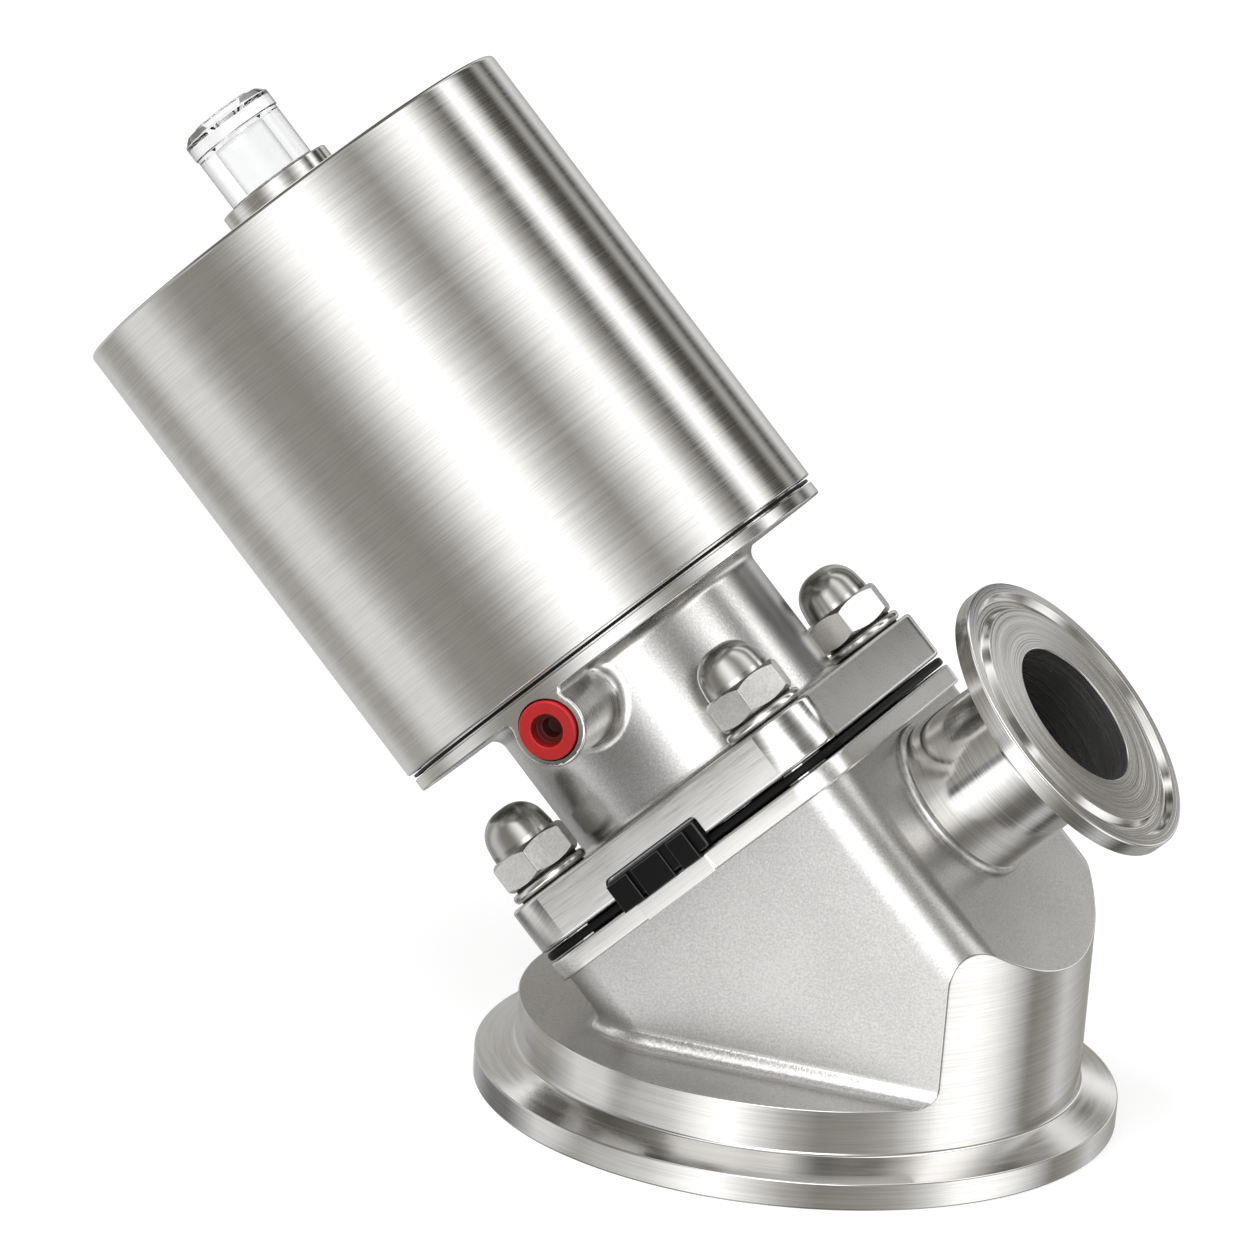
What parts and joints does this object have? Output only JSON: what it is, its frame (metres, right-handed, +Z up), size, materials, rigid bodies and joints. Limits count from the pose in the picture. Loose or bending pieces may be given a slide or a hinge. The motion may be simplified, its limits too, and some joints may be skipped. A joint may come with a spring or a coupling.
{
  "type": "tank bottom valve",
  "caption": "Pneumatic diaphragm valve for a vessel's lowest point, with a clamp ferrule to the tank, a leaning piston actuator and a clamp outlet at a right angle to it.",
  "frame": {"origin": "On the plane of the tank ferrule's face, under the middle of the whole valve's outline. The tank axis passes through X = 34.454 mm, Y = 0.", "axes": "+Z up, out of the tank face and along the body's axis. The actuator leans 45 degrees from +Z toward -X, the outlet 45 degrees toward +X, and the pilot port and the diaphragm's tag point to -Y."},
  "size_m": [0.1872, 0.106, 0.1626],
  "materials": {
    "stainless_steel": "brushed and turned",
    "blasted_steel": "bead blasted",
    "spring_steel": "drawn wire",
    "aluminium": "turned",
    "bronze": "sintered",
    "black_rubber": "moulded",
    "white_plastic": "machined",
    "red_plastic": "moulded",
    "clear_plastic": "polished clear"
  },
  "bodies": {
    "valve": {"valve_body": "stainless_steel", "outlet_spigot": "stainless_steel", "diaphragm": "black_rubber", "bonnet": "blasted_steel", "spindle_bush": "bronze", "spindle_seal_lower": "black_rubber", "spindle_seal_upper": "black_rubber", "actuator_shell": "stainless_steel", "shell_seal": "black_rubber", "shell_retaining_ring": "spring_steel", "outer_spring": "spring_steel", "inner_spring": "spring_steel", "indicator_bush": "stainless_steel", "indicator_seal": "black_rubber", "indicator_cap": "clear_plastic", "stud_1": "stainless_steel", "stud_2": "stainless_steel", "stud_3": "stainless_steel", "stud_4": "stainless_steel", "washer_1": "stainless_steel", "washer_2": "stainless_steel", "washer_3": "stainless_steel", "washer_4": "stainless_steel", "cap_nut_1": "stainless_steel", "cap_nut_2": "stainless_steel", "cap_nut_3": "stainless_steel", "cap_nut_4": "stainless_steel"},
    "lifting_set": {"piston": "aluminium", "piston_seal": "black_rubber", "piston_guide_ring": "white_plastic", "spindle": "stainless_steel", "spindle_nut": "stainless_steel", "pressure_piece": "stainless_steel", "diaphragm_stud": "stainless_steel", "indicator_rod": "stainless_steel"},
    "plug": {"pilot_plug": "red_plastic"}
  },
  "joints": [
    {"name": "piston_lift", "type": "slide", "parent": "valve", "child": "lifting_set", "axis": [-0.7071, 0, 0.7071], "range_m": [0, 0.008], "stiffness_N_per_m": 20000, "springref_m": -0.02, "deforming": ["outer_spring", "inner_spring", "diaphragm"]},
    {"name": "plug_pull", "type": "slide", "parent": "valve", "child": "plug", "axis": [0, -1, 0], "range_m": [0, 0.01]}
  ]
}
